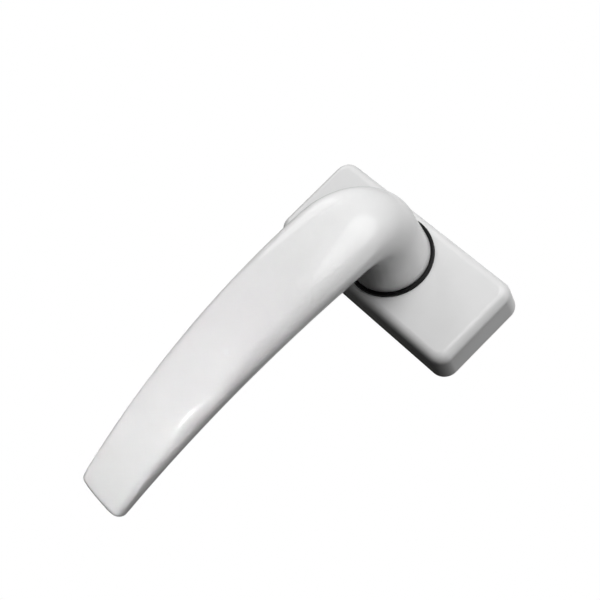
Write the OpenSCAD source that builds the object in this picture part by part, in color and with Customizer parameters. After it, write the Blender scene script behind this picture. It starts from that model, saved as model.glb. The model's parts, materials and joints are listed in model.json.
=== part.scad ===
// Window lever handle on a rectangular rosette, for a tilt-and-turn or casement sash.
// Origin: on the spindle's axis, in the plane of the sash that the rosette is screwed to.
// +X runs across the rosette, -Y points out of the sash into the room, +Z runs up the rosette.
// The lever is at rest in its open position, at right angles to the rosette, towards -X.

/* [Rosette cover] */
// Length of the cover, along the sash profile
cover_l = 70; // [64:1:90]
// Width of the cover
cover_w = 31.4; // [31:0.2:46]
// Height of the cover's face above the sash
cover_h = 11.1; // [10.5:0.1:16]
// Radius of the cover's corners, seen from the front
cover_corner_r = 4.5; // [3.5:0.1:7]
// Radius of the edge between the cover's face and its sides
cover_edge_r = 2.9; // [1:0.1:3.2]
// How far each side leans in between the sash and the face
cover_lean = 0.5; // [0:0.1:1]
// Wall of the cover
cover_wall = 1.6; // [1.2:0.1:1.8]

/* [Lever] */
// Radius of the neck's foot, inside the guide ring
neck_r = 11.9; // [11.4:0.1:12.6]
// Radius of the neck under the elbow, from where it widens down to its foot
neck_top_r = 10.6; // [10.4:0.1:11.4]
// Reach of the lever from the spindle's axis to its tip
lever_reach = 104.4; // [85:0.2:140]
// Height of the bow's highest point above the sash
crest_h = 48.1; // [42:0.1:60]
// Distance of the bow's highest point from the spindle's axis
crest_x = 28; // [25:0.1:40]
// Radius of the bow along the lever's outer face
bow_r = 199; // [160:1:300]
// Thickness of the lever at its tip
tip_t = 6.3; // [5:0.1:8]
// Thickness of the lever beside the neck
root_t = 13.4; // [10:0.1:14]
// Width of the lever at its tip
tip_w = 16.3; // [12:0.1:20]
// Width of the lever halfway along
mid_w = 22.3; // [18:0.1:25]
// Width of the lever over the neck
head_w = 25.6; // [24:0.1:28]
// Radius of the elbow over the neck, in side view
elbow_r = 21.4; // [20:0.1:26]
// Radius of the crook under the lever, in side view
crook_r = 10.5; // [4:0.1:12]
// Rounding of the lever's tip
tip_r = 1.6; // [0.8:0.1:2.4]
// Fullness of the section at the tip, 2 for an ellipse and more for a squarer one
tip_fullness = 3.2; // [2:0.1:4]
// Fullness of the section over the neck
head_fullness = 2.1; // [2:0.1:4]

/* [Guide ring] */
// Radial width of the ring that shows between neck and cover
ring_rim = 1.1; // [0.8:0.1:1.6]
// Height of the ring above the cover's face
ring_proud = 1.2; // [0.6:0.1:2]
// Thickness of the ring's flange under the cover
ring_flange_t = 0.8; // [0.6:0.1:1]

/* [Spindle] */
// Width of the square spindle across its flats
spindle_af = 7; // [6:0.5:8]
// Length of the spindle behind the rosette
spindle_reach = 35; // [20:1:60]
// Depth of the spindle inside the lever's neck
spindle_seat = 20; // [12:1:22]
// Diameter of the pin that holds the spindle in the neck
pin_d = 2; // [1.5:0.1:2.2]

/* [Fixing] */
// Distance between the two fixing screws
screw_spacing = 43; // [41:0.5:46]
// Diameter of the screws
screw_d = 5; // [4:0.5:5]
// Length of the screws, with the countersunk head
screw_l = 25; // [18:1:60]
// Diameter of the plain shank between the head and the thread
shank_d = 4.3; // [3.4:0.1:4.6]
// Diameter of the locating lugs behind the rosette
lug_d = 10; // [8:0.5:12]
// Length of the locating lugs behind the rosette
lug_l = 5.5; // [3:0.5:12]

/* [Base plate] */
// Thickness of the base plate's floor
floor_t = 3; // [2:0.1:4]
// Height of the screw bosses above the sash
boss_h = 5.5; // [5:0.1:7]
// Height of the base plate's rim
rim_h = 7; // [5:0.1:7.2]
// Thickness of the rim
rim_t = 1.4; // [1.2:0.1:1.8]
// Wall between the detent chamber and the outside of its housing, along the rosette
chamber_wall = 5.6; // [5:0.1:7]

/* [Detent] */
// Radius of the detent cam
cam_r = 8.5; // [8:0.1:8.8]
// Height of the detent cam
cam_h = 2.8; // [2.6:0.1:3]
// Radius of the detent balls
ball_r = 1.5; // [1.2:0.1:1.5]
// Depth of the notches that the balls drop into
notch_depth = 0.7; // [0.4:0.1:0.9]
// Length of the detent springs behind the balls
spring_l = 3.8; // [3:0.1:4]
// Diameter of the springs' wire
spring_wire = 0.36; // [0.3:0.02:0.44]
// Turns in each spring
spring_turns = 4.5; // [3:0.5:6]
// Radius of the lever's stem in its bush
stem_r = 7; // [6.6:0.1:7.2]

/* [Clearances] */
// Radial clearance of pieces that turn or slide in one another
run_gap = 0.05; // [0.02:0.01:0.1]
// Radial clearance of pieces pressed into one another
press_gap = 0.02; // [0:0.01:0.04]
// Clearance between stacked pieces along the spindle
stack_gap = 0.05; // [0.02:0.01:0.1]
// Clearance around pieces that don't touch
free_gap = 0.2; // [0.1:0.05:0.3]

/* [Hidden] */
$fn = 64;
// Overshoot of a cut beyond the face it opens
over = 1;

// Colours: powder coat, nylon, zinc casting, steel and spring steel
white = [0.94, 0.94, 0.94];
black = [0.05, 0.05, 0.05];
nylon = [0.85, 0.84, 0.8];
zinc = [0.66, 0.67, 0.68];
steel = [0.75, 0.76, 0.78];

// Plan of the base plate, inside the cover
cavity_l = cover_l - 2 * (cover_lean + cover_wall);
cavity_w = cover_w - 2 * (cover_lean + cover_wall);
cavity_r = cover_corner_r - cover_wall;
base_l = cavity_l - 2 * free_gap;
base_w = cavity_w - 2 * free_gap;
base_r = cavity_r - free_gap;

// Heights above the sash, from the back of the rosette to the neck
lid_t = 1;
cam_z = lid_t + 2 * stack_gap;
stem_z = cam_z + cam_h + 2 * stack_gap;
land_h = 0.6;
clip_z = stem_z + land_h + stack_gap;
clip_t = 0.9;
washer_z = clip_z + clip_t + stack_gap;
washer_t = 0.6;
hub_z = washer_z + washer_t + 2 * stack_gap;
flange_z = cover_h - cover_wall - ring_flange_t;
hub_top = flange_z - free_gap;
bush_flange_t = 0.5;
cone_z = hub_top + bush_flange_t + stack_gap;
cone_h = 0.4;
neck_z = cone_z + cone_h + stack_gap;

// Detent chamber, its balls and the diagonal bores behind them
chamber_r = cam_r + 0.4;
lid_r = chamber_r + 1.6;
ball_gap = run_gap;
ball_at = cam_r + ball_r + ball_gap;
ball_z = cam_z + cam_h / 2;
ball_bore_r = ball_r + run_gap;
spring_from = ball_at + ball_r;
spring_r = ball_r - 0.1;
housing_l = 2 * (chamber_r + chamber_wall);

// Stem, bush and retaining ring
bush_wall = 1;
bush_r = stem_r + run_gap + bush_wall;
groove_r = stem_r - 0.8;
clip_r = chamber_r - 0.3;
flange_r = neck_top_r - 0.6;

// Square spindle, its socket and its cross pin
spindle_corner_r = spindle_af * 0.68;
socket_af = spindle_af + 2 * run_gap;
socket_corner_r = spindle_corner_r + run_gap;
pin_z = neck_z + pin_d / 2 + 0.5;

// Guide ring
ring_r = neck_r + ring_rim;
ring_in_r = neck_r + run_gap;
ring_flange_r = max(ring_r, cavity_w / 2 - free_gap);
ring_top = cover_h + ring_proud;

// Countersunk screws, with a 90 degree head
head_r = screw_d * 0.92;
head_h = head_r - screw_d / 2;
boss_r = head_r + 1.6;
screw_hole_r = screw_d / 2 + 0.1;
spigot_r = screw_hole_r + 1;
spigot_h = 1.6;
recess_w = 1;
recess_l = screw_d * 0.9;
recess_depth = head_h * 0.8;

// Spring clips over the ends of the rim
clip_w = 8;
clip_steel = 0.5;
clip_notch = 0.7;

// Lever: the tip's station, the bow's centre and where the elbow and the crook begin
tip_x = -lever_reach;
bow_z = crest_h - bow_r;
elbow_x = neck_top_r - elbow_r;
elbow_z = bow_z + sqrt(pow(bow_r - elbow_r, 2) - pow(elbow_x + crest_x, 2));
tip_angle = 90 + asin((-crest_x - tip_x) / bow_r);
elbow_angle = atan2(elbow_z - bow_z, elbow_x + crest_x);
crook_x = -neck_top_r - crook_r;
crook_angle = 90 + asin((-crest_x - crook_x) / (bow_r - root_t));
crook_z = bow_z + (bow_r - root_t) * sin(crook_angle) - crook_r;
collar_z = min(elbow_z, crook_z) - 1;
foot_z = ring_top + free_gap;
// Sinks the faceted lever just inside the true cylinder of the neck
skin_inset = 0.02;
collar_lap = 0.5;
collar_r = neck_top_r - skin_inset;
lever_steps = 22;
elbow_steps = 9;
section_points = 32;

// Turns a module drawn with its height along +Z so that it stands out of the sash, along -Y
module out_of_sash() { rotate([90, 0, 0]) children(); }

// Outline of a rectangle with round corners, as the corners' own arcs
function rounded_rect(l, w, r, steps = 8) = [
    for (corner = [0:3], i = [0:steps])
        let (a = 90 * (corner + i / steps),
             sx = corner == 0 || corner == 3 ? 1 : -1,
             sy = corner < 2 ? 1 : -1)
        [sx * (w / 2 - r) + r * cos(a), sy * (l / 2 - r) + r * sin(a)]
];

module rounded_block(l, w, h, r) {
    linear_extrude(h) polygon(rounded_rect(l, w, r));
}

module ring(outer_r, inner_r, h) {
    difference() {
        cylinder(r = outer_r, h = h);
        translate([0, 0, -over]) cylinder(r = inner_r, h = h + 2 * over);
    }
}

// Square bar with its edges turned down to a radius
module square_bar(af, corner_r, h) {
    intersection() {
        translate([-af / 2, -af / 2, 0]) cube([af, af, h]);
        cylinder(r = corner_r, h = h);
    }
}

// Skin over rings that all hold the same number of points
module skin(rings) {
    n = len(rings[0]);
    last = len(rings) - 1;
    sides = [
        for (i = [0:last - 1], j = [0:n - 1])
            let (a = i * n + j, b = i * n + (j + 1) % n)
            each [[b, a, a + n], [b, a + n, b + n]]
    ];
    foot = [for (j = [0:n - 1]) j];
    head = [for (j = [n - 1:-1:0]) last * n + j];
    polyhedron(points = [for (r = rings) each r], faces = concat([foot], sides, [head]));
}

// Closed section between an outer and an inner point of the side view, at width w
function section(outer, inner, w, power) = [
    for (i = [0:section_points - 1])
        let (a = 360 * i / section_points,
             up = sign(sin(a)) * pow(abs(sin(a)), 2 / power),
             side = sign(cos(a)) * pow(abs(cos(a)), 2 / power),
             middle = (outer + inner) / 2,
             half = (outer - inner) / 2)
        [middle[0] + half[0] * up, side * w / 2, middle[1] + half[1] * up]
];

function on_bow(a, depth) = [
    -crest_x + (bow_r - depth) * cos(a), bow_z + (bow_r - depth) * sin(a)
];
function smooth(t) = t * t * (3 - 2 * t);
function mix(a, b, t) = a + (b - a) * t;

// How far along the lever x lies, from 0 at the tip to 1 over the neck
function along_lever(x) = (x - tip_x) / -tip_x;
function lever_fullness(x) = mix(tip_fullness, head_fullness, along_lever(x));

// Width of the lever: a parabola through its tip, its middle and its head
function lever_width(x) =
    let (u = along_lever(x))
    tip_w * (1 - u) * (1 - 2 * u) + 4 * mid_w * u * (1 - u) + head_w * u * (2 * u - 1);

// Ring k of the lever, with its section drawn in by inset at the rounded tip
function lever_ring(t, inset) =
    let (depth = mix(tip_t, root_t, t),
         oa = mix(tip_angle, elbow_angle, t),
         ia = mix(tip_angle, crook_angle, t),
         outer = on_bow(oa, inset),
         w = lever_width(outer[0]) - 2 * inset)
    section(outer, on_bow(ia, depth - inset), w, lever_fullness(outer[0]));

// Ring of the elbow: the outside follows the elbow's arc and the inside follows the crook's
function elbow_ring(t) =
    let (oa = mix(elbow_angle, 0, t),
         ia = mix(90, 0, t),
         outer = [elbow_x + elbow_r * cos(oa), elbow_z + elbow_r * sin(oa)],
         inner = [crook_x + crook_r * cos(ia), crook_z + crook_r * sin(ia)],
         w = mix(lever_width(elbow_x), 2 * collar_r, smooth(t)),
         power = mix(lever_fullness(elbow_x), 2, t))
    section(outer - [skin_inset * t, 0], inner + [skin_inset * t, 0], w, power);

// Ring of the rounded tip, at angle a round its edge from the end face to the full section
function tip_ring(a) =
    lever_ring(tip_r * (1 - cos(a)) / (lever_reach + elbow_x), tip_r * (1 - sin(a)));

lever_rings = concat(
    [for (a = [0:22.5:90]) tip_ring(a)],
    [for (k = [1:lever_steps - 1]) lever_ring(k / lever_steps, 0)],
    [for (k = [0:elbow_steps]) elbow_ring(k / elbow_steps)],
    [section([collar_r, collar_z], [-collar_r, collar_z], 2 * collar_r, 2)]
);

// Lever with its round neck and the stem that turns in the base plate, one casting
module lever_grip() {
    color(white) out_of_sash() difference() {
        union() {
            skin(lever_rings);
            translate([0, 0, neck_z]) cylinder(r = neck_r, h = foot_z - neck_z);
            translate([0, 0, foot_z])
                cylinder(r1 = neck_r, r2 = neck_top_r, h = collar_z - foot_z);
            translate([0, 0, collar_z]) cylinder(r = neck_top_r, h = collar_lap);
            translate([0, 0, stem_z]) cylinder(r = stem_r, h = neck_z - stem_z + over);
        }
        translate([0, 0, stem_z - over])
            square_bar(socket_af, socket_corner_r, neck_z + spindle_seat + over - stem_z);
        translate([0, 0, stem_z + land_h]) difference() {
            cylinder(r = stem_r + over, h = clip_t + 2 * stack_gap);
            translate([0, 0, -over]) cylinder(r = groove_r, h = clip_t + 3 * over);
        }
        translate([0, neck_r + over, pin_z]) rotate([90, 0, 0])
            cylinder(r = pin_d / 2 + press_gap, h = 2 * (neck_r + over));
    }
}

// Square steel bar that drives the window's gear, drilled for its pin
module spindle() {
    color(steel) out_of_sash() difference() {
        translate([0, 0, -spindle_reach])
            square_bar(spindle_af, spindle_corner_r, spindle_reach + neck_z + spindle_seat - free_gap);
        translate([0, spindle_af, pin_z]) rotate([90, 0, 0])
            cylinder(r = pin_d / 2 + press_gap, h = 2 * spindle_af);
    }
}

// Cross pin through the neck, covered by the guide ring
module spindle_pin() {
    pin_half = neck_r - 0.3;
    color(steel) out_of_sash() translate([0, pin_half, pin_z]) rotate([90, 0, 0])
        cylinder(r = pin_d / 2, h = 2 * pin_half);
}

// Cam that turns with the spindle, with a notch for the balls at each quarter turn
module detent_cam() {
    color(steel) out_of_sash() translate([0, 0, cam_z]) difference() {
        cylinder(r = cam_r, h = cam_h);
        translate([0, 0, -over]) square_bar(socket_af, socket_corner_r, cam_h + 2 * over);
        for (a = [45:90:315]) rotate([0, 0, a])
            translate([ball_at - notch_depth, 0, -over])
                cylinder(r = ball_bore_r, h = cam_h + 2 * over);
    }
}

// Ball of the detent, on the diagonal at angle a
module detent_ball(a) {
    color(steel) out_of_sash() rotate([0, 0, a]) translate([ball_at, 0, ball_z]) sphere(r = ball_r);
}

// Spring behind a ball, closed coils of round wire along the diagonal at angle a
module detent_spring(a) {
    coil_r = spring_r - spring_wire / 2;
    steps = 14;
    pitch_from = spring_from + spring_wire / 2 + stack_gap;
    pitch_l = spring_l - spring_wire - 2 * stack_gap;
    rings = [
        for (i = [0:spring_turns * steps])
            let (b = 360 * i / steps, along = pitch_from + pitch_l * i / (spring_turns * steps))
            [for (j = [0:5])
                let (c = 60 * j, r = coil_r + spring_wire / 2 * cos(c))
                [along + spring_wire / 2 * sin(c), r * cos(b), r * sin(b)]]
    ];
    color(steel) out_of_sash() rotate([0, 0, a]) translate([0, 0, ball_z]) skin(rings);
}

// Split ring in the stem's groove, which holds the lever in the base plate
module retaining_ring() {
    color(steel) out_of_sash() translate([0, 0, clip_z]) difference() {
        ring(clip_r, groove_r + run_gap, clip_t);
        translate([0, -1.6, -over]) cube([clip_r + over, 3.2, clip_t + 2 * over]);
    }
}

module thrust_washer() {
    color(nylon) out_of_sash() translate([0, 0, washer_z])
        ring(clip_r, stem_r + run_gap, washer_t);
}

// Flanged bush that the stem turns in
module hub_bush() {
    color(nylon) out_of_sash() difference() {
        union() {
            translate([0, 0, hub_z]) cylinder(r = bush_r, h = hub_top - hub_z + bush_flange_t);
            translate([0, 0, hub_top]) cylinder(r = flange_r, h = bush_flange_t);
        }
        translate([0, 0, hub_z - over]) cylinder(r = stem_r + run_gap, h = neck_z);
    }
}

// Cone spring that takes up the play between bush and neck
module spring_washer() {
    sheet = 0.2;
    inner = stem_r + run_gap + 0.1;
    color(steel) out_of_sash() translate([0, 0, cone_z]) rotate_extrude()
        polygon([[inner, cone_h - sheet], [inner, cone_h],
                 [flange_r - 0.2, sheet], [flange_r - 0.2, 0]]);
}

// Zinc casting behind the cover: floor, rim, screw bosses and the housing of the detent
module base_plate() {
    color(zinc) out_of_sash() difference() {
        union() {
            rounded_block(base_l, base_w, floor_t, base_r);
            rim();
            intersection() {
                rounded_block(base_l, base_w, hub_top, base_r);
                translate([-base_w / 2, -housing_l / 2, 0]) cube([base_w, housing_l, hub_top]);
            }
            for (s = [-1, 1]) translate([0, s * screw_spacing / 2, 0])
                cylinder(r = boss_r, h = boss_h);
        }
        translate([0, 0, -over]) cylinder(r = lid_r, h = lid_t + over);
        translate([0, 0, -over]) cylinder(r = chamber_r, h = hub_z + over);
        translate([0, 0, -over]) cylinder(r = bush_r + press_gap, h = hub_top + 2 * over);
        for (a = [45, 225]) rotate([0, 0, a]) translate([0, 0, ball_z]) rotate([0, 90, 0])
            cylinder(r = ball_bore_r, h = spring_from + spring_l);
        for (s = [-1, 1]) translate([0, s * screw_spacing / 2, 0]) screw_hole();
        for (s = [0, 180]) rotate([0, 0, s]) clip_recess();
    }
}

module rim() {
    difference() {
        rounded_block(base_l, base_w, rim_h, base_r);
        translate([0, 0, floor_t])
            rounded_block(base_l - 2 * rim_t, base_w - 2 * rim_t, rim_h, base_r - rim_t / 2);
    }
}

module screw_hole() {
    translate([0, 0, -over]) cylinder(r = screw_hole_r, h = boss_h + 2 * over);
    translate([0, 0, -over]) cylinder(r = spigot_r + press_gap, h = spigot_h + over);
    translate([0, 0, boss_h - head_h - 0.1])
        cylinder(r1 = screw_hole_r, r2 = screw_hole_r + head_h + 0.1 + over, h = head_h + 0.1 + over);
}

// Pocket in the outside of the rim, at the upper end, for a cover clip
module clip_recess() {
    translate([-clip_w / 2 - free_gap, base_l / 2 - clip_notch, floor_t])
        cube([clip_w + 2 * free_gap, clip_notch + over, rim_h]);
}

// Steel clip over the rim, which the cover snaps onto, at the upper end
module cover_clip() {
    outside = base_l / 2 - clip_notch;
    inside = base_l / 2 - rim_t;
    foot = floor_t + 0.1;
    module strip(from, to, low, high) {
        translate([-clip_w / 2, from, low]) cube([clip_w, to - from, high - low]);
    }
    color(steel) out_of_sash() union() {
        strip(outside, outside + clip_steel, foot, rim_h + clip_steel);
        strip(inside - clip_steel, outside + clip_steel, rim_h, rim_h + clip_steel);
        strip(inside - clip_steel, inside, foot + 1, rim_h + clip_steel);
    }
}

// Steel disc that closes the detent chamber from behind
module detent_lid() {
    color(steel) out_of_sash()
        ring(lid_r - press_gap, socket_corner_r + 0.5, lid_t);
}

// Countersunk screw with a cross recess, and a plain shank as far as the back of its lug
module screw() {
    tip_cone = 1;
    thread_top = -lug_l - 0.3;
    color(steel) out_of_sash() difference() {
        union() {
            translate([0, 0, boss_h - screw_l])
                cylinder(r1 = screw_d / 2 - tip_cone, r2 = screw_d / 2, h = tip_cone);
            translate([0, 0, boss_h - screw_l + tip_cone])
                cylinder(r = screw_d / 2, h = thread_top - boss_h + screw_l - tip_cone);
            translate([0, 0, thread_top])
                cylinder(r = shank_d / 2, h = boss_h - head_h / 2 - thread_top);
            translate([0, 0, boss_h - head_h])
                cylinder(r1 = screw_d / 2, r2 = head_r, h = head_h);
        }
        for (a = [0, 90]) rotate([0, 0, a])
            translate([-recess_l / 2, -recess_w / 2, boss_h - recess_depth])
                cube([recess_l, recess_w, recess_depth + over]);
    }
}

// Nylon lug that sits in the drilled sash and takes the turning force off the screws
module locating_lug() {
    color(nylon) out_of_sash() difference() {
        union() {
            translate([0, 0, -lug_l]) cylinder(r = lug_d / 2, h = lug_l);
            cylinder(r = spigot_r, h = spigot_h);
        }
        translate([0, 0, -lug_l - over]) cylinder(r = screw_hole_r, h = lug_l + spigot_h + 2 * over);
    }
}

// Post that forms one corner of the cover, with its lean and its rounded edge
module cover_corner() {
    top_r = cover_corner_r - cover_lean;
    edge = min(cover_edge_r, top_r);
    rotate_extrude($fn = 32) polygon(concat(
        [[0, 0], [cover_corner_r, 0]],
        [for (a = [0:11.25:90]) [top_r - edge + edge * cos(a), cover_h - edge + edge * sin(a)]],
        [[0, cover_h]]
    ));
}

// Cast cover, open at the back, with a round hole for the guide ring
module rosette_cover() {
    color(white) out_of_sash() difference() {
        hull() for (sx = [-1, 1], sy = [-1, 1])
            translate([sx * (cover_w / 2 - cover_corner_r), sy * (cover_l / 2 - cover_corner_r), 0])
                cover_corner();
        translate([0, 0, -over])
            rounded_block(cavity_l, cavity_w, cover_h - cover_wall + over, cavity_r);
        cylinder(r = ring_r + press_gap, h = cover_h + over);
    }
}

// Black nylon ring snapped into the cover, which runs on the neck
module guide_ring() {
    chamfer = 0.25;
    color(black) out_of_sash() rotate_extrude() polygon([
        [ring_in_r, flange_z], [ring_flange_r, flange_z],
        [ring_flange_r, cover_h - cover_wall], [ring_r, cover_h - cover_wall],
        [ring_r, ring_top - chamfer], [ring_r - chamfer, ring_top], [ring_in_r, ring_top]
    ]);
}

module at_screw(s) { translate([0, 0, s * screw_spacing / 2]) children(); }
module at_lower_end() { rotate([0, 180, 0]) children(); }

base_plate();
detent_lid();
hub_bush();
at_screw(1) locating_lug();  // locating_lug_upper
at_screw(-1) locating_lug();  // locating_lug_lower
at_screw(1) screw();  // screw_upper
at_screw(-1) screw();  // screw_lower
cover_clip();  // cover_clip_upper
at_lower_end() cover_clip();  // cover_clip_lower
detent_cam();
detent_ball(45);  // detent_ball_upper
detent_ball(225);  // detent_ball_lower
detent_spring(45);  // detent_spring_upper
detent_spring(225);  // detent_spring_lower
thrust_washer();
retaining_ring();
spring_washer();
lever_grip();
spindle();
spindle_pin();
rosette_cover();
guide_ring();
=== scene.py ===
"""Window lever handle on a rectangular rosette: its finished surfaces and materials.

Lengths are in metres. The rosette stands on the plane y = 0 and -Y points into the room; the
spindle's axis is the Y axis, and the lever at rest points to -X.
"""
import json
import math

import bmesh
import bpy
from mathutils import Matrix, Vector

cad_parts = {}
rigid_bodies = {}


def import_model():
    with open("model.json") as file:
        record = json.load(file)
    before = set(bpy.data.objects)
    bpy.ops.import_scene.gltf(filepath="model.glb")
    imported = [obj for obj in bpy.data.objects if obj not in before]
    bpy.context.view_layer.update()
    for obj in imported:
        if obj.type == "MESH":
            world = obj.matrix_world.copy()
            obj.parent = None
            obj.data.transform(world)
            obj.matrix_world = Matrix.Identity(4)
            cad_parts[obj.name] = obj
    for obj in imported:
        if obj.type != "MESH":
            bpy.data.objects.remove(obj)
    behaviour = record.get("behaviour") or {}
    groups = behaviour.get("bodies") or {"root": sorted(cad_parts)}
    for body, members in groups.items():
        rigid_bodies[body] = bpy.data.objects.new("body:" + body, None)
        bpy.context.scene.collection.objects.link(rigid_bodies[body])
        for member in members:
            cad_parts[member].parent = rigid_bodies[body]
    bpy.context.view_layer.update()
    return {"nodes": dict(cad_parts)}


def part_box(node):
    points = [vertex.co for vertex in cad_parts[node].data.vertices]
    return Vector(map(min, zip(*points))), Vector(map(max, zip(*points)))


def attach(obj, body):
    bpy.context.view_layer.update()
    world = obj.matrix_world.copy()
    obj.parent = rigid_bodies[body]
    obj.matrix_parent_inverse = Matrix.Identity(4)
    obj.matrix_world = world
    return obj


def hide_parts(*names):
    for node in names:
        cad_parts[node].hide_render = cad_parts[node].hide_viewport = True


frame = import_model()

bpy.ops.object.select_all(action="DESELECT")
mm = 0.001


# ---- Base plate ----
# Zinc die casting, screwed to the sash through its two bosses. It carries the bush, the detent and
# the clips of the cover. It is left raw, so it shows the dull, slightly mottled skin of the casting.

def shader_of(material):
    return material.node_tree.nodes["Principled BSDF"]


def new_material(name, color, roughness, metallic=0.0):
    material = bpy.data.materials.new(name)
    material.use_nodes = True
    shader = shader_of(material)
    shader.inputs["Base Color"].default_value = (*color, 1)
    shader.inputs["Roughness"].default_value = roughness
    shader.inputs["Metallic"].default_value = metallic
    return material


# Noise below the first counts as a grain's low and above the second as its high
grain_low, grain_high = 0.3, 0.7


def grain(material, size, detail=3.0):
    """Noise in the object's own coordinates, with blotches of about the given size."""
    nodes, links = material.node_tree.nodes, material.node_tree.links
    place = nodes.new("ShaderNodeTexCoord")
    noise = nodes.new("ShaderNodeTexNoise")
    noise.inputs["Scale"].default_value = 1 / size
    noise.inputs["Detail"].default_value = detail
    links.new(place.outputs["Object"], noise.inputs["Vector"])
    return noise.outputs["Fac"]


def tint(material, source, dark, light):
    """Base colour that wanders between two tones with a grain."""
    nodes, links = material.node_tree.nodes, material.node_tree.links
    ramp = nodes.new("ShaderNodeValToRGB")
    ramp.color_ramp.elements[0].position = grain_low
    ramp.color_ramp.elements[0].color = (*dark, 1)
    ramp.color_ramp.elements[1].position = grain_high
    ramp.color_ramp.elements[1].color = (*light, 1)
    links.new(source, ramp.inputs["Fac"])
    links.new(ramp.outputs["Color"], shader_of(material).inputs["Base Color"])


def polish(material, source, low, high):
    """Roughness that wanders between two values with a grain."""
    nodes, links = material.node_tree.nodes, material.node_tree.links
    span = nodes.new("ShaderNodeMapRange")
    span.inputs["From Min"].default_value = grain_low
    span.inputs["From Max"].default_value = grain_high
    span.inputs["To Min"].default_value = low
    span.inputs["To Max"].default_value = high
    links.new(source, span.inputs["Value"])
    links.new(span.outputs["Result"], shader_of(material).inputs["Roughness"])


def relief(material, source, height, socket="Normal"):
    """Bump of the given height, for the base or just for the coat over it."""
    nodes, links = material.node_tree.nodes, material.node_tree.links
    bump = nodes.new("ShaderNodeBump")
    bump.inputs["Distance"].default_value = height
    links.new(source, bump.inputs["Height"])
    links.new(bump.outputs["Normal"], shader_of(material).inputs[socket])


def dress(material, *nodes):
    """Gives CAD nodes, whose shape is right as it is, their finished material."""
    for node in nodes:
        for slot in frame["nodes"][node].material_slots:
            slot.material = material


zinc = new_material("raw_zinc", (0.5, 0.51, 0.53), 0.45, metallic=0.9)
mottle = grain(zinc, 2.5 * mm, detail=6)
tint(zinc, mottle, (0.40, 0.41, 0.43), (0.58, 0.59, 0.61))
polish(zinc, mottle, 0.38, 0.58)
relief(zinc, grain(zinc, 0.35 * mm), 0.02 * mm)
dress(zinc, "base_plate")


# ---- Lid and cam of the detent ----
# Stamped steel, zinc plated: the lid closes the chamber from behind, the cam turns in it on the
# square spindle. Plating over rolled sheet is bright, with a cold tint and faint clouds.

plated = new_material("zinc_plating", (0.66, 0.69, 0.73), 0.28, metallic=1.0)
clouds = grain(plated, 6 * mm, detail=4)
tint(plated, clouds, (0.60, 0.64, 0.70), (0.74, 0.75, 0.76))
polish(plated, grain(plated, 1.2 * mm), 0.22, 0.36)
relief(plated, grain(plated, 0.15 * mm), 0.003 * mm)
dress(plated, "detent_lid", "detent_cam")


# ---- Bush and thrust washer ----
# Natural nylon, moulded. The bush is pressed into the base plate and the lever's stem turns in it.
# The plastic is slightly yellow, and a little light goes through it.

nylon = new_material("natural_nylon", (0.78, 0.76, 0.68), 0.42)
shader = shader_of(nylon)
shader.inputs["Subsurface Weight"].default_value = 0.25
shader.inputs["Subsurface Scale"].default_value = 1.5 * mm
shader.inputs["Subsurface Radius"].default_value = (1.0, 0.8, 0.5)
tint(nylon, grain(nylon, 5 * mm), (0.74, 0.72, 0.63), (0.82, 0.80, 0.73))
relief(nylon, grain(nylon, 0.25 * mm), 0.006 * mm)
dress(nylon, "hub_bush", "thrust_washer")


# ---- Locating lugs ----
# Nylon lugs round the screws, each pressed by its spigot into the back of the base plate. They sit
# in two drilled holes in the sash, and their thin crush ribs and tapered noses centre them there.

def select_where(piece, test, kind="VERT"):
    """In edit mode, selects just the vertices, edges or faces that pass a test."""
    bpy.ops.mesh.select_all(action="DESELECT")
    bpy.ops.mesh.select_mode(type=kind)
    mesh = bmesh.from_edit_mesh(piece.data)
    mesh.verts.index_update()
    parts = {"VERT": mesh.verts, "EDGE": mesh.edges, "FACE": mesh.faces}[kind]
    for part in parts:
        if test(part):
            part.select_set(True)
    mesh.select_flush_mode()
    bmesh.update_edit_mesh(piece.data)


def edit(piece):
    bpy.ops.object.mode_set(mode="EDIT")
    bpy.ops.mesh.select_mode(type="VERT")
    return piece


def finish_mesh(piece, name, body, material, angle=35):
    """Leaves edit mode, settles the mesh in place and dresses it."""
    if bpy.context.mode != "OBJECT":
        bpy.ops.object.mode_set(mode="OBJECT")
    piece.name = piece.data.name = name
    bpy.ops.object.transform_apply(location=True, rotation=True, scale=True)
    bpy.ops.object.shade_smooth_by_angle(angle=math.radians(angle))
    piece.data.materials.clear()
    piece.data.materials.append(material)
    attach(piece, body)
    bpy.ops.object.select_all(action="DESELECT")


def turned(profile, steps=96, centre=(0, 0)):
    """A turned piece: a half profile of (radius, y) points, spun round an axis along Y."""
    x, z = centre
    start = Vector((x + profile[0][0], profile[0][1], z))
    bpy.ops.mesh.primitive_plane_add(size=mm, location=start)
    piece = edit(bpy.context.object)
    bpy.ops.mesh.merge(type="CENTER")
    for (r, y), (next_r, next_y) in zip(profile, profile[1:]):
        bpy.ops.mesh.extrude_region_move(TRANSFORM_OT_translate={"value": (next_r - r, next_y - y, 0)})
    bpy.ops.mesh.select_all(action="SELECT")
    bpy.ops.mesh.spin(steps=steps, angle=2 * math.pi, center=(x, 0, z), axis=(0, 1, 0))
    bpy.ops.mesh.select_all(action="SELECT")
    bpy.ops.mesh.remove_doubles(threshold=0.001 * mm)
    bpy.ops.mesh.normals_make_consistent(inside=False)
    bpy.ops.object.mode_set(mode="OBJECT")
    bpy.ops.object.transform_apply(location=True, rotation=True, scale=True)
    return piece


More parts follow.
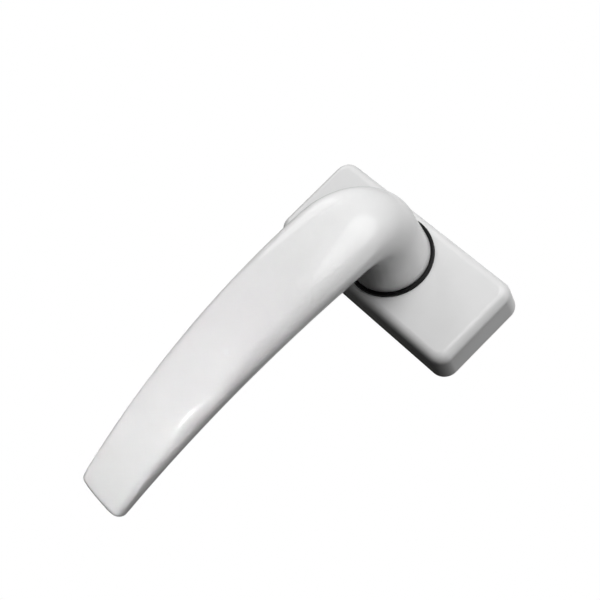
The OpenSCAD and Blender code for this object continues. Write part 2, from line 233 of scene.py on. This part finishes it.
# How near to a place a vertex or a face has to lie to count as being there
near = 0.1 * mm
lug_bore_r = 2.6 * mm
lug_spigot_r = 3.6 * mm
lug_nose = 0.8 * mm
lug_ribs = 6
lug_rib_w = 1.0 * mm
lug_rib_h = 0.25 * mm
lug_rib_taper = 0.96
for node in ("locating_lug_upper", "locating_lug_lower"):
    low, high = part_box(node)
    axis_z = (low.z + high.z) / 2
    lug_r = (high.x - low.x) / 2
    core_r = lug_r - lug_rib_h
    piece = turned(
        [(lug_bore_r, low.y), (lug_spigot_r, low.y), (lug_spigot_r, 0), (core_r, 0),
         (core_r, high.y - lug_nose), (core_r - lug_nose / 2, high.y), (lug_bore_r, high.y),
         (lug_bore_r, low.y)],
        steps=72, centre=(0, axis_z))
    edit(piece)
    for k in range(lug_ribs):
        angle = 2 * math.pi * k / lug_ribs
        out = Vector((math.cos(angle), 0, math.sin(angle)))

        def on_rib(face):
            middle = face.calc_center_median() - Vector((0, 0, axis_z))
            side = abs(middle.x * out.z - middle.z * out.x)
            wall = abs(face.normal.y) < 0.2 and abs(middle.xz.length - core_r) < near
            return wall and middle.dot(out) > 0 and side < lug_rib_w / 2

        select_where(piece, on_rib, "FACE")
        bpy.ops.mesh.extrude_region_move(TRANSFORM_OT_translate={"value": out * lug_rib_h})
        bpy.ops.transform.resize(value=(1, lug_rib_taper, 1), center_override=(0, 0, axis_z))
    bpy.ops.object.mode_set(mode="OBJECT")
    finish_mesh(piece, node + "_moulded", "rosette", nylon)
    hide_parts(node)


# ---- Fixing screws ----
# Countersunk M5 screws with a cross recess: a plain shank runs through base plate and lug, and the
# rolled thread starts behind them. Zinc plated.

def activate(piece):
    bpy.ops.object.select_all(action="DESELECT")
    bpy.context.view_layer.objects.active = piece
    piece.select_set(True)


def apply_modifier(piece, kind, **settings):
    modifier = piece.modifiers.new(kind.lower(), kind)
    for key, value in settings.items():
        setattr(modifier, key, value)
    bpy.ops.object.modifier_apply(modifier=modifier.name)


def cut_away(piece, cutter):
    """Cuts a throw-away shape out of a piece."""
    activate(piece)
    apply_modifier(piece, "BOOLEAN", object=cutter, operation="DIFFERENCE", solver="MANIFOLD")
    bpy.data.objects.remove(cutter)


def cut_with_cube(piece, size, location, turn=(0, 0, 0)):
    bpy.ops.mesh.primitive_cube_add(size=1, location=location, rotation=turn, scale=size)
    cut_away(piece, bpy.context.object)


def close_ends(sides):
    """In edit mode, caps open ends of up to so many sides (0 for any) and turns all faces outwards."""
    bpy.ops.mesh.select_all(action="SELECT")
    bpy.ops.mesh.fill_holes(sides=sides)
    bpy.ops.mesh.select_all(action="SELECT")
    bpy.ops.mesh.normals_make_consistent(inside=False)
    bpy.ops.object.mode_set(mode="OBJECT")


head_rim = 0.25 * mm
recess_w, recess_l, recess_depth = 1.0 * mm, 4.5 * mm, 1.7 * mm
shank_r = 2.15 * mm
thread_r = 2.5 * mm
thread_depth = 0.49 * mm
thread_pitch = 0.8 * mm
thread_gap = 0.3 * mm
thread_step = 0.15 * mm
thread_runout = 1.6 * mm
core_r = thread_r - thread_depth
point_l, point_taper = 0.8 * mm, 0.7 * mm
# Width of the thread's ridge at its root and at its crest, as shares of the pitch and of the root
ridge_root, ridge_crest = 0.94, 0.14
for node, lug in (("screw_upper", "locating_lug_upper"), ("screw_lower", "locating_lug_lower")):
    low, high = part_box(node)
    axis_z = (low.z + high.z) / 2
    head_r = (high.x - low.x) / 2
    thread_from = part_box(lug)[1].y + thread_gap
    piece = turned(
        [(0, low.y), (head_r - head_rim, low.y), (head_r, low.y + head_rim),
         (shank_r, low.y + head_r - shank_r), (shank_r, thread_from),
         (core_r, thread_from + thread_step), (core_r, high.y - point_l),
         (core_r - point_taper, high.y), (0, high.y)],
        steps=64, centre=(0, axis_z))
    for turn in (0, math.pi / 2):
        cut_with_cube(
            piece, (recess_l, 2 * recess_depth, recess_w), (0, low.y, axis_z), (0, turn, 0))

    # The ridge of the thread is one trapezoid, screwed along the shank
    bpy.ops.mesh.primitive_plane_add(size=1, location=(0, 0, axis_z))
    ridge = edit(bpy.context.object)
    bpy.ops.transform.resize(value=(2 * thread_depth, ridge_root * thread_pitch, 1))
    select_where(ridge, lambda v: v.co.x > 0)
    bpy.ops.transform.resize(value=(1, ridge_crest, 1), center_override=(0, 0, axis_z))
    bpy.ops.mesh.select_all(action="SELECT")
    bpy.ops.transform.translate(value=(core_r, thread_from + thread_pitch, 0))
    bpy.ops.object.mode_set(mode="OBJECT")
    turns = int((high.y - thread_runout - thread_from) / thread_pitch)
    apply_modifier(
        ridge, "SCREW", axis="Y", angle=2 * math.pi, screw_offset=thread_pitch, iterations=turns,
        steps=36, render_steps=36)
    edit(ridge)
    close_ends(sides=4)
    finish_mesh(ridge, node + "_thread", "rosette", plated, angle=30)
    activate(piece)
    finish_mesh(piece, node + "_shank", "rosette", plated, angle=30)
    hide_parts(node)


# ---- Clips, springs and rings ----
# Spring steel, blued and oiled: the clips that hold the cover, the split ring in the stem's groove
# and the cone spring under the neck. The two detent springs are wound from round wire.

spring_steel = new_material("spring_steel", (0.30, 0.30, 0.31), 0.3, metallic=1.0)
oil = grain(spring_steel, 2 * mm)
tint(spring_steel, oil, (0.22, 0.22, 0.24), (0.36, 0.35, 0.34))
polish(spring_steel, oil, 0.22, 0.38)
dress(spring_steel, "cover_clip_upper", "cover_clip_lower", "retaining_ring", "spring_washer")

wire_r = 0.18 * mm
coil_r = 1.22 * mm
coil_turns = 4.5
coil_l = 3.34 * mm
coil_steps = 144
# Distance of the first turn from the spindle's axis, just behind the ball
coil_from = 11.78 * mm
for node, diagonal in (("detent_spring_upper", -45), ("detent_spring_lower", 135)):
    low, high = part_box(node)
    bpy.ops.mesh.primitive_circle_add(
        vertices=12, radius=wire_r, location=(0, (low.y + high.y) / 2, 0),
        rotation=(math.pi / 2, 0, 0))
    piece = bpy.context.object
    bpy.ops.object.transform_apply(location=False, rotation=True, scale=False)
    edit(piece)
    bpy.ops.transform.translate(value=(coil_from, 0, coil_r))
    bpy.ops.object.mode_set(mode="OBJECT")
    apply_modifier(
        piece, "SCREW", axis="X", angle=2 * math.pi * coil_turns, screw_offset=coil_l,
        steps=coil_steps, render_steps=coil_steps)
    edit(piece)
    close_ends(sides=0)
    piece.rotation_euler.y = math.radians(diagonal)
    finish_mesh(piece, node + "_wound", "rosette", spring_steel)
    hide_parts(node)


# ---- Balls and spindle pin ----
# Ground bright steel: the balls that drop into the cam's notches, and the pin through neck and
# spindle, which the guide ring covers.

bright_steel = new_material("bright_steel", (0.78, 0.78, 0.80), 0.12, metallic=1.0)
polish(bright_steel, grain(bright_steel, 0.8 * mm), 0.08, 0.18)
dress(bright_steel, "detent_ball_upper", "detent_ball_lower", "spindle_pin")


# ---- Spindle ----
# Cold drawn square bar, zinc plated, with its edges and its end turned down so that it slips into
# the follower of the window's gear. The pin's hole runs across its inner end.

def box_mesh(low, high):
    """A block between two corners, with its origin at the world's."""
    bpy.ops.mesh.primitive_cube_add(size=1, location=(low + high) / 2, scale=high - low)
    bpy.ops.object.transform_apply(location=True, rotation=True, scale=True)
    return bpy.context.object


def cut_with_rod(piece, radius, length, location, turn=(0, 0, 0), steps=48):
    """Drills a hole with a throw-away rod, which stands along Z before it is turned."""
    bpy.ops.mesh.primitive_cylinder_add(
        vertices=steps, radius=radius, depth=length, location=location, rotation=turn)
    cut_away(piece, bpy.context.object)


spindle_low, spindle_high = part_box("spindle")
pin_low, pin_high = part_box("spindle_pin")
pin_middle = (pin_low + pin_high) / 2
press_gap = 0.02 * mm
pin_hole_r = (pin_high.x - pin_low.x) / 2 + press_gap
spindle_edge = 0.7 * mm
spindle_nose = 0.9 * mm
spindle_drill_l = 10 * mm
spindle = edit(box_mesh(spindle_low, spindle_high))
select_where(spindle, lambda e: abs(e.verts[0].co.y - e.verts[1].co.y) > mm, "EDGE")
bpy.ops.mesh.bevel(offset=spindle_edge, segments=4, affect="EDGES")
select_where(spindle, lambda v: abs(v.co.y - spindle_high.y) < near)
bpy.ops.mesh.bevel(offset=spindle_nose, segments=1, affect="EDGES")
bpy.ops.object.mode_set(mode="OBJECT")
cut_with_rod(spindle, pin_hole_r, spindle_drill_l, pin_middle)
finish_mesh(spindle, "spindle_bar", "lever", plated, angle=30)
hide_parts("spindle")


# ---- Lever ----
# One zinc casting: the bowed grip, the elbow, the round neck that widens to its foot, and the stem
# in the bush, which stays bare. The rest is ground smooth and powder coated in gloss white; the coat
# lies very slightly uneven, like orange peel.

powder = new_material("white_powder_coat", (0.80, 0.80, 0.80), 0.5)
shader = shader_of(powder)
shader.inputs["Coat Weight"].default_value = 0.5
shader.inputs["Coat Roughness"].default_value = 0.05
shader.inputs["IOR"].default_value = 1.5
tint(powder, grain(powder, 14 * mm), (0.78, 0.78, 0.78), (0.81, 0.81, 0.81))
polish(powder, grain(powder, 1.5 * mm), 0.46, 0.54)
relief(powder, grain(powder, 0.6 * mm, detail=1), 0.004 * mm)
relief(powder, grain(powder, 1.2 * mm, detail=1), 0.03 * mm, socket="Coat Normal")

# Side view of the lever, as x and height above the sash
lever_low, lever_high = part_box("lever_grip")
tip_x = -104.4 * mm
crest_h = -lever_low.y
crest_x = -28 * mm
bow_r = 199 * mm
tip_t, root_t = 6.3 * mm, 13.4 * mm
tip_w, mid_w, head_w = 16.3 * mm, 22.3 * mm, 25.6 * mm
tip_round = 1.6 * mm
tip_fullness, head_fullness = 3.2, 2.1
elbow_r = 21.4 * mm
crook_r = 10.5 * mm
neck_top_r = 10.6 * mm
foot_r = 11.9 * mm
foot_h = 12.5 * mm
foot_edge = 0.25 * mm
neck_h = 9.5 * mm

bow_h = crest_h - bow_r
elbow_x = neck_top_r - elbow_r
elbow_h = bow_h + math.sqrt((bow_r - elbow_r) ** 2 - (elbow_x - crest_x) ** 2)
crook_x = -neck_top_r - crook_r
tip_angle = math.pi / 2 + math.asin((crest_x - tip_x) / bow_r)
elbow_angle = math.atan2(elbow_h - bow_h, elbow_x - crest_x)
crook_angle = math.pi / 2 + math.asin((crest_x - crook_x) / (bow_r - root_t))
crook_h = bow_h + (bow_r - root_t) * math.sin(crook_angle) - crook_r


def mix(a, b, share):
    return a + (b - a) * share


def on_arc(x, height, radius, angle):
    return Vector((x + radius * math.cos(angle), height + radius * math.sin(angle)))


def lever_width(x):
    """Width along the grip: a parabola through its tip, its middle and its head."""
    share = (x - tip_x) / -tip_x
    return (tip_w * (1 - share) * (1 - 2 * share) + 4 * mid_w * share * (1 - share)
            + head_w * share * (2 * share - 1))


def lever_fullness(x):
    return mix(tip_fullness, head_fullness, (x - tip_x) / -tip_x)


def grip_section(share, inset):
    """Outer and inner point, width and fullness at a share of the way from tip to elbow."""
    depth = mix(tip_t, root_t, share)
    outer = on_arc(crest_x, bow_h, bow_r - inset, mix(tip_angle, elbow_angle, share))
    inner = on_arc(crest_x, bow_h, bow_r - depth + inset, mix(tip_angle, crook_angle, share))
    return outer, inner, lever_width(outer.x) - 2 * inset, lever_fullness(outer.x)


def elbow_section(share):
    outer = on_arc(elbow_x, elbow_h, elbow_r, mix(elbow_angle, 0, share))
    inner = on_arc(crook_x, crook_h, crook_r, mix(math.pi / 2, 0, share))
    eased = share * share * (3 - 2 * share)
    width = mix(lever_width(elbow_x), 2 * neck_top_r, eased)
    return outer, inner, width, mix(lever_fullness(elbow_x), 2, share)


def neck_section(share):
    """The neck is a cone, which widens from the elbow down to its foot."""
    radius = mix(neck_top_r, foot_r, share)
    outer = Vector((radius, mix(elbow_h, foot_h, share)))
    inner = Vector((-radius, mix(crook_h, foot_h, share)))
    return outer, inner, 2 * radius, 2


def foot_section(radius, height):
    return Vector((radius, height)), Vector((-radius, height)), 2 * radius, 2


def add_section(outer, inner, width, fullness):
    """One ring of eight cage points. Subdividing draws them in, so they stand out beyond the skin."""
    middle = (outer + inner) / 2
    across = outer - inner
    # The smooth skin weighs a cage point by 4/6 and each of its two neighbours by 1/6. The pulls
    # solve that for the four points on the section's axes and for the four between them.
    root2 = math.sqrt(2)
    corner = root2 * 2 ** (-1 / fullness)
    flat_pull = (24 - 6 * root2 * corner) / 14
    corner_pull = (24 * corner - 6 * root2) / 14
    centre = (middle.x, -middle.y, 0)
    bpy.ops.mesh.primitive_circle_add(
        vertices=8, radius=mm, location=centre, rotation=(math.pi / 2, 0, 0))
    mesh = bmesh.from_edit_mesh(bpy.context.object.data)
    for v in mesh.verts:
        if v.select and min(abs(v.co.x - centre[0]), abs(v.co.z)) < near:
            v.select_set(False)
    mesh.select_flush_mode()
    bpy.ops.transform.resize(value=(corner_pull / flat_pull,) * 3, center_override=centre)
    bpy.ops.mesh.select_linked()
    across_scale, width_scale = across.length / 2 * flat_pull / mm, width / 2 * flat_pull / mm
    bpy.ops.transform.resize(value=(across_scale, 1, width_scale), center_override=centre)
    bpy.ops.transform.rotate(
        value=math.atan2(across.y, across.x), orient_axis="Z", center_override=centre)


tip_steps, grip_steps, elbow_steps, neck_steps = 4, 16, 12, 4
sections = []
for k in range(tip_steps + 1):
    angle = math.pi / 2 * k / tip_steps
    along = tip_round * (1 - math.cos(angle)) / (elbow_x - tip_x)
    sections.append(grip_section(along, tip_round * (1 - math.sin(angle))))
sections += [grip_section(k / grip_steps, 0) for k in range(1, grip_steps)]
sections += [elbow_section(k / elbow_steps) for k in range(elbow_steps + 1)]
sections += [neck_section(k / neck_steps) for k in range(1, neck_steps + 1)]
sections.append(foot_section(foot_r, foot_h - foot_edge))
sections.append(foot_section(foot_r, neck_h + foot_edge))
sections.append(foot_section(foot_r, neck_h))
sections.append(foot_section(foot_r - foot_edge, neck_h))

bpy.ops.object.add(type="MESH")
lever = edit(bpy.context.object)
for section in sections:
    add_section(*section)
for k in range(len(sections) - 1):
    select_where(lever, lambda v: 8 * k <= v.index < 8 * (k + 2))
    bpy.ops.mesh.bridge_edge_loops()
close_ends(sides=8)
apply_modifier(lever, "SUBSURF", levels=3, render_levels=3)

# Socket for the square spindle and the hole for its pin, then the stem that turns in the bush
slip_gap = 0.05 * mm
socket_w = spindle_high.x - spindle_low.x + 2 * slip_gap
socket_depth_gap = 0.2 * mm
socket_low = Vector((-socket_w / 2, spindle_low.y - socket_depth_gap, -socket_w / 2))
socket_high = Vector((socket_w / 2, lever_high.y + mm, socket_w / 2))
ring_low, ring_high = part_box("retaining_ring")
groove_from, groove_to = ring_low.y - slip_gap, ring_high.y + slip_gap
stem_r = 7 * mm
groove_r = 6.2 * mm
stem = turned([
    (0, -neck_h), (stem_r, -neck_h), (stem_r, groove_from), (groove_r, groove_from),
    (groove_r, groove_to), (stem_r, groove_to), (stem_r, lever_high.y), (0, lever_high.y)])
for part in (lever, stem):
    activate(part)
    cut_with_cube(part, socket_high - socket_low, (socket_low + socket_high) / 2)
cut_with_rod(lever, pin_hole_r, 2 * foot_r + mm, pin_middle)
activate(lever)
finish_mesh(lever, "lever_casting", "lever", powder, angle=40)
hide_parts("lever_grip")
activate(stem)
finish_mesh(stem, "lever_stem", "lever", zinc)


# ---- Guide ring ----
# Black nylon ring, snapped into the cover from behind by its flange. It runs on the neck's foot and
# shows as a narrow band between neck and cover.

black_nylon = new_material("black_nylon", (0.003, 0.003, 0.0035), 0.42)
shader_of(black_nylon).inputs["Specular IOR Level"].default_value = 0.15
polish(black_nylon, grain(black_nylon, 0.6 * mm), 0.32, 0.46)
relief(black_nylon, grain(black_nylon, 0.12 * mm), 0.004 * mm)

guide_low, guide_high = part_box("guide_ring")
guide_in_r = foot_r + slip_gap
guide_r = 13.0 * mm
guide_edge = 0.25 * mm
cover_low, cover_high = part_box("rosette_cover")
cover_wall = 1.6 * mm
guide = turned([
    (guide_in_r, guide_low.y), (guide_r, guide_low.y), (guide_r, cover_low.y + cover_wall),
    (guide_high.x, cover_low.y + cover_wall), (guide_high.x, guide_high.y),
    (guide_in_r, guide_high.y), (guide_in_r, guide_low.y)], steps=128)
apply_modifier(guide, "BEVEL", width=guide_edge, segments=3, limit_method="ANGLE")
finish_mesh(guide, "guide_ring_moulded", "cover", black_nylon)
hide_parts("guide_ring")


# ---- Rosette cover ----
# Zinc die casting like a shallow lid, clipped over the base plate. Its sides lean in a little so
# that it leaves the mould, and its front edge is well rounded. Coated like the lever.

cover_corner_r = 4.5 * mm
cover_edge_r = 2.9 * mm
cover_lean = 0.5 * mm
cover_lip = 0.2 * mm
cover_drill_l = 20 * mm
cover_size = cover_high - cover_low
cover = edit(box_mesh(cover_low, cover_high))
select_where(cover, lambda e: abs(e.verts[0].co.y - e.verts[1].co.y) > mm, "EDGE")
bpy.ops.mesh.bevel(offset=cover_corner_r, segments=10, affect="EDGES")
select_where(cover, lambda v: v.co.y < cover_low.y + near)
bpy.ops.transform.resize(
    value=(1 - 2 * cover_lean / cover_size.x, 1, 1 - 2 * cover_lean / cover_size.z),
    center_override=(0, 0, 0))
bpy.ops.mesh.bevel(offset=cover_edge_r, segments=10, affect="EDGES")
select_where(cover, lambda v: v.co.y > -near)
bpy.ops.mesh.bevel(offset=cover_lip, segments=2, affect="EDGES")
select_where(cover, lambda f: f.normal.y > 0.99, "FACE")
bpy.ops.mesh.inset(thickness=cover_wall + cover_lean - cover_lip)
bpy.ops.mesh.extrude_region_move(
    TRANSFORM_OT_translate={"value": (0, cover_low.y + cover_wall, 0)})
bpy.ops.object.mode_set(mode="OBJECT")
cut_with_rod(
    cover, guide_r + press_gap, cover_drill_l, (0, cover_low.y, 0), (math.pi / 2, 0, 0), steps=128)
finish_mesh(cover, "rosette_cover_casting", "cover", powder, angle=40)
activate(cover)
apply_modifier(cover, "WEIGHTED_NORMAL", keep_sharp=True)
bpy.ops.object.select_all(action="DESELECT")
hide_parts("rosette_cover")


# ---- Studio ----
# Pale floor well below the handle and soft lamps all round it. The surround is plain white to the
# camera and nearly black to everything else, so that the lamps alone shape the gloss.

def set_lamp(name, shape, light, aim, only):
    """Gives a new area lamp its strength at its aim, and the one piece it lights, if any."""
    lamp = bpy.context.object
    lamp.name = name
    lamp.visible_camera = False
    lamp.data.shape = shape
    lamp.data.energy = light * math.pi * (lamp.location - aim).length_squared
    if only:
        lit = bpy.data.collections.new(name + "_lit")
        lit.objects.link(only)
        lamp.light_linking.receiver_collection = lit
    return lamp


def softbox(name, location, size, light, aim=(0, 0, 0), spread=180, only=None):
    """A round lamp, turned to the spindle's foot or to another aim."""
    aim = Vector(aim)
    turn = (Vector(location) - aim).to_track_quat("Z", "Y").to_euler()
    bpy.ops.object.light_add(type="AREA", location=location, rotation=turn)
    lamp = set_lamp(name, "DISK", light, aim, only)
    lamp.data.size = size
    lamp.data.spread = math.radians(spread)


def strip_light(name, start, end, width, light, only=None):
    """A thin strip between two points, for the broken glints in the coat."""
    start, end = Vector(start), Vector(end)
    middle = (start + end) / 2
    back = middle.normalized()
    side = back.cross(end - start).normalized()
    turn = Matrix((side.cross(back), side, back)).transposed().to_euler()
    bpy.ops.object.light_add(type="AREA", location=middle, rotation=turn)
    lamp = set_lamp(name, "RECTANGLE", light, Vector((0, 0, 0)), only)
    lamp.data.size = (end - start).length
    lamp.data.size_y = width


floor_size = 40
floor_drop = 0.45
bpy.ops.mesh.primitive_plane_add(size=floor_size, location=(0, 0, -floor_drop))
floor = bpy.context.object
floor.name = "floor"
floor.visible_diffuse = False
floor.visible_glossy = False
floor.visible_shadow = False
paper = new_material("floor_paper", (0.02, 0.02, 0.02), 1.0)
shader = shader_of(paper)
shader.inputs["Specular IOR Level"].default_value = 0.0
shader.inputs["Emission Color"].default_value = (1, 1, 1, 1)
shader.inputs["Emission Strength"].default_value = 0.78
floor.data.materials.append(paper)

softbox("key", (0.55, -0.82, -0.16), 1.0, 2.75)
softbox("front", (0.35, -0.93, 0.1), 0.6, 0.45)
softbox("upper", (0.3, -0.75, 0.59), 0.5, 0.15)
softbox("top", (0.3, -0.3, 0.9), 0.5, 0.65)
softbox("top_edge", (0.5, 0.06, 0.87), 0.8, 0.26)
softbox("under", (0.3, 0.1, -0.95), 0.5, 0.3)
softbox("back", (0.4, 0.8, 0.05), 1.2, 0.9)

# These light the lever alone: two narrow beams on its grip and tip, and two strips for the glints
softbox("grip", (-0.45, -0.75, -0.1), 0.1, 0.0045, aim=(-0.09, -0.045, 0), spread=7, only=lever)
softbox("tip", (-0.25, -0.8, 0.25), 0.1, 0.0012, aim=(-0.105, -0.045, 0), spread=6, only=lever)
strip_light("glint_head", (0.25, -0.63, 0.74), (0.61, -0.41, 0.68), 0.012, 0.15, only=lever)
strip_light("glint_grip", (-0.02, -0.96, -0.29), (-0.25, -0.97, -0.04), 0.012, 0.1, only=lever)

world = bpy.data.worlds.new("surround")
bpy.context.scene.world = world
world.use_nodes = True
nodes, links = world.node_tree.nodes, world.node_tree.links
seen = nodes["Background"]
seen.inputs["Color"].default_value = (1, 1, 1, 1)
seen.inputs["Strength"].default_value = 1.0
unseen = nodes.new("ShaderNodeBackground")
unseen.inputs["Color"].default_value = (1, 1, 1, 1)
unseen.inputs["Strength"].default_value = 0.02
ray = nodes.new("ShaderNodeLightPath")
choice = nodes.new("ShaderNodeMixShader")
links.new(ray.outputs["Is Camera Ray"], choice.inputs["Fac"])
links.new(unseen.outputs["Background"], choice.inputs[1])
links.new(seen.outputs["Background"], choice.inputs[2])
links.new(choice.outputs["Shader"], nodes["World Output"].inputs["Surface"])

bpy.ops.object.camera_add(
    location=(-0.0578, -0.2825, -0.1356),
    rotation=(math.radians(128.54), math.radians(40.81), math.radians(21.035)))
camera = bpy.context.object
camera.data.sensor_width = 36
camera.data.lens = 64.03
camera.data.clip_start = 0.01
bpy.context.scene.camera = camera
bpy.context.scene.view_settings.view_transform = "Standard"
